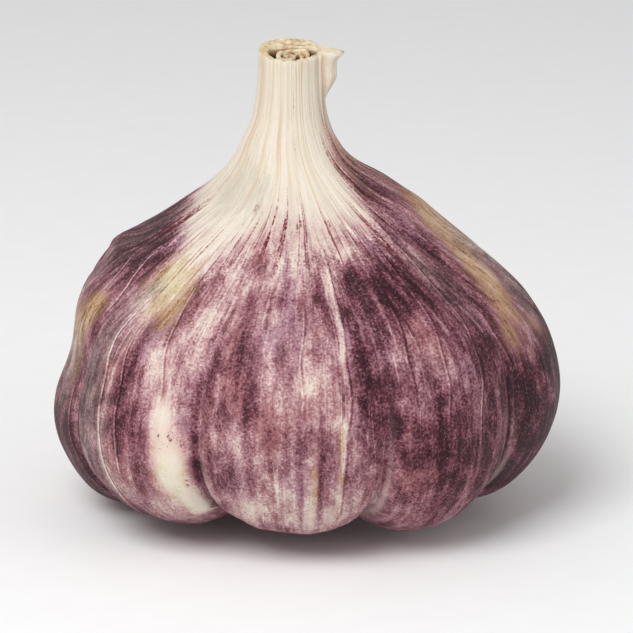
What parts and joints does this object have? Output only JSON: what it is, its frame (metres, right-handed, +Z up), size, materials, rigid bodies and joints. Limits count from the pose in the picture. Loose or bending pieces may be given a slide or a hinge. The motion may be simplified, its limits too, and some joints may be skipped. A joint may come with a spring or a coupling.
{
  "type": "garlic bulb",
  "caption": "Cured purple-striped garlic bulb standing on its root plate: cloves bulging under one dry papery skin, with a cut neck.",
  "frame": {"origin": "on the surface the bulb stands on, under the middle of its bounding box", "axes": "+Z up through the neck, +X across the bulb to the pinched corner of the neck, -Y towards the viewer"},
  "size_m": [0.0656, 0.0636, 0.0608],
  "materials": {
    "bulb_skin": "satin",
    "inner_leaf": "matte",
    "core_leaf": "matte",
    "root": "matte"
  },
  "bodies": {
    "root": {"bulb": "bulb_skin", "neck_inner_sheath": "inner_leaf", "neck_core": "core_leaf", "root_plate": "root"}
  },
  "joints": []
}
